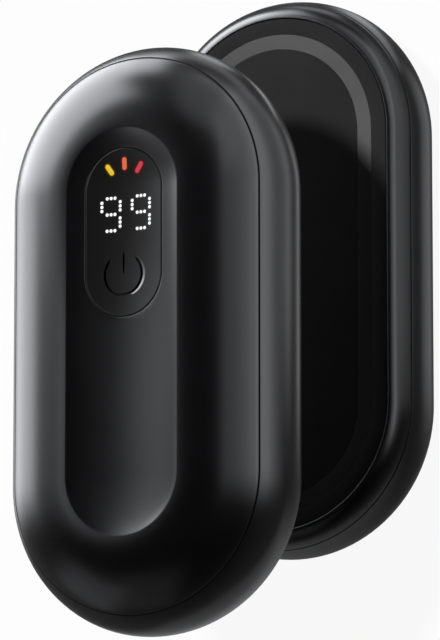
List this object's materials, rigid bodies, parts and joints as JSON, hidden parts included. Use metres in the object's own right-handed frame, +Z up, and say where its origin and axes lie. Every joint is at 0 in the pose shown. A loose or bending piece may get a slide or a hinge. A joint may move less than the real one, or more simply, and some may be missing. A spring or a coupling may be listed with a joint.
{
  "type": "hand warmer",
  "caption": "Pair of pill-shaped rechargeable hand warmers that dock face to face on magnets, each with a thumb channel, display key, heaters and charging port.",
  "frame": {"origin": "middle of the pair's footprint, on the plane that the lower unit's display rim lies on", "axes": "+X across the width, +Y along the length towards the display ends, +Z up, which is also the way that the upper unit's display faces"},
  "size_m": [0.0522, 0.1185, 0.0754],
  "materials": {
    "case_black": "satin",
    "panel_black": "matte",
    "ring_grey": "matte",
    "key_black": "gloss",
    "light_amber": "gloss",
    "module_white": "matte",
    "board_green": "satin",
    "steel": "satin",
    "cell_foil": "satin",
    "foam": "matte",
    "lead_red": "satin",
    "sensor": "satin",
    "film_copper": "satin",
    "spreader_aluminium": "satin"
  },
  "bodies": {
    "lower_unit": {"lower_display_cover": "case_black", "lower_mid_frame": "case_black", "lower_dock_shell": "case_black", "lower_dock_panel": "panel_black", "lower_dock_ring": "ring_grey", "lower_display_module": "module_white", "lower_key_switch": "steel", "lower_main_board": "board_green", "lower_board_screws": "steel", "lower_usb_socket": "steel", "lower_battery": "cell_foil", "lower_battery_pad": "foam", "lower_protection_board": "board_green", "lower_battery_leads": "lead_red", "lower_thermistor": "sensor", "lower_palm_heater": "film_copper", "lower_dock_heater": "film_copper", "lower_heat_spreader": "spreader_aluminium", "lower_dock_magnets": "steel", "lower_case_screws": "steel"},
    "upper_unit": {"upper_display_cover": "case_black", "upper_mid_frame": "case_black", "upper_dock_shell": "case_black", "upper_dock_panel": "panel_black", "upper_dock_ring": "ring_grey", "upper_display_module": "module_white", "upper_key_switch": "steel", "upper_main_board": "board_green", "upper_board_screws": "steel", "upper_usb_socket": "steel", "upper_battery": "cell_foil", "upper_battery_pad": "foam", "upper_protection_board": "board_green", "upper_battery_leads": "lead_red", "upper_thermistor": "sensor", "upper_palm_heater": "film_copper", "upper_dock_heater": "film_copper", "upper_heat_spreader": "spreader_aluminium", "upper_dock_magnets": "steel", "upper_case_screws": "steel"},
    "lower_key": {"lower_display_key": "key_black", "lower_level_lights": "light_amber"},
    "upper_key": {"upper_display_key": "key_black", "upper_level_lights": "light_amber"}
  },
  "joints": [
    {"name": "apart", "type": "slide", "parent": "lower_unit", "child": "upper_unit", "axis": [0, -0.4551, 0.8905], "range_m": [-0.0403, 0.01]},
    {"name": "lower_key_press", "type": "slide", "parent": "lower_unit", "child": "lower_key", "axis": [0, 0, -1], "range_m": [-0.0004, 0], "stiffness_N_per_m": 900, "springref_m": 0.0002},
    {"name": "upper_key_press", "type": "slide", "parent": "upper_unit", "child": "upper_key", "axis": [0, 0, 1], "range_m": [-0.0004, 0], "stiffness_N_per_m": 900, "springref_m": 0.0002}
  ]
}
